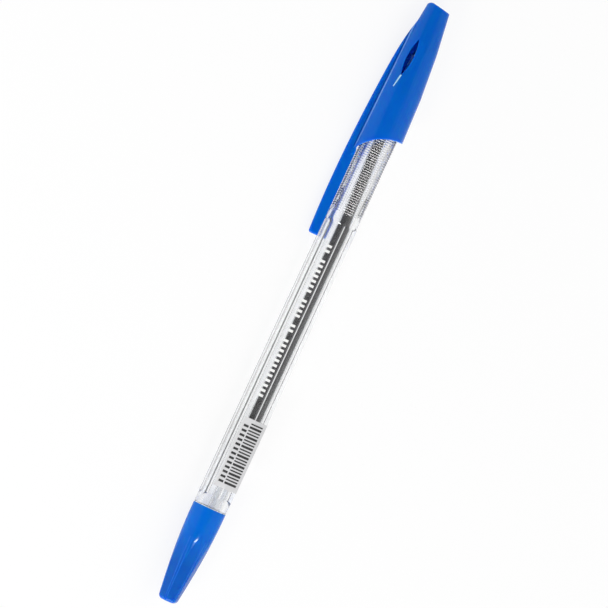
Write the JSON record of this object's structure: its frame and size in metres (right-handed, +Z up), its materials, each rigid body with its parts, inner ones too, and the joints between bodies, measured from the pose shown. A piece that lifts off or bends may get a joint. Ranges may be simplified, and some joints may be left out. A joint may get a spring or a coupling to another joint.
{
  "type": "stick ballpoint pen",
  "caption": "Slim capped stick ballpoint pen: clear hexagonal barrel with a ribbed grip, blue clip cap, tapered tail plug, inner refill and rolling ball point.",
  "frame": {"origin": "centre of the tail plug's flat end, on the pen's axis", "axes": "+X along the pen's axis to the writing end, +Z up; the pen lies on the cap's rim and the clip's edge"},
  "size_m": [0.15, 0.0108, 0.01],
  "materials": {
    "cap_plastic": "gloss blue",
    "clear_plastic": "clear",
    "plug_plastic": "gloss blue",
    "label_paper": "matt paper",
    "tube_plastic": "translucent",
    "ink": "wet dark ink",
    "holder_plastic": "satin",
    "tip_metal": "turned nickel silver",
    "ball_metal": "polished"
  },
  "bodies": {
    "pen": {"barrel": "clear_plastic", "tail_plug": "plug_plastic", "barcode_label": "label_paper", "refill_tube": "tube_plastic", "ink_column": "ink", "tip_holder": "holder_plastic", "writing_tip": "tip_metal"},
    "cap": {"cap": "cap_plastic"},
    "ball": {"writing_ball": "ball_metal"}
  },
  "joints": [
    {"name": "cap_pull", "type": "slide", "parent": "pen", "child": "cap", "axis": [1, 0, 0], "range_m": [0, 0.06]},
    {"name": "ball_roll", "type": "hinge", "parent": "pen", "child": "ball", "pos_m": [0.1437, 0, 0], "axis": [0, 1, 0], "continuous": true}
  ]
}
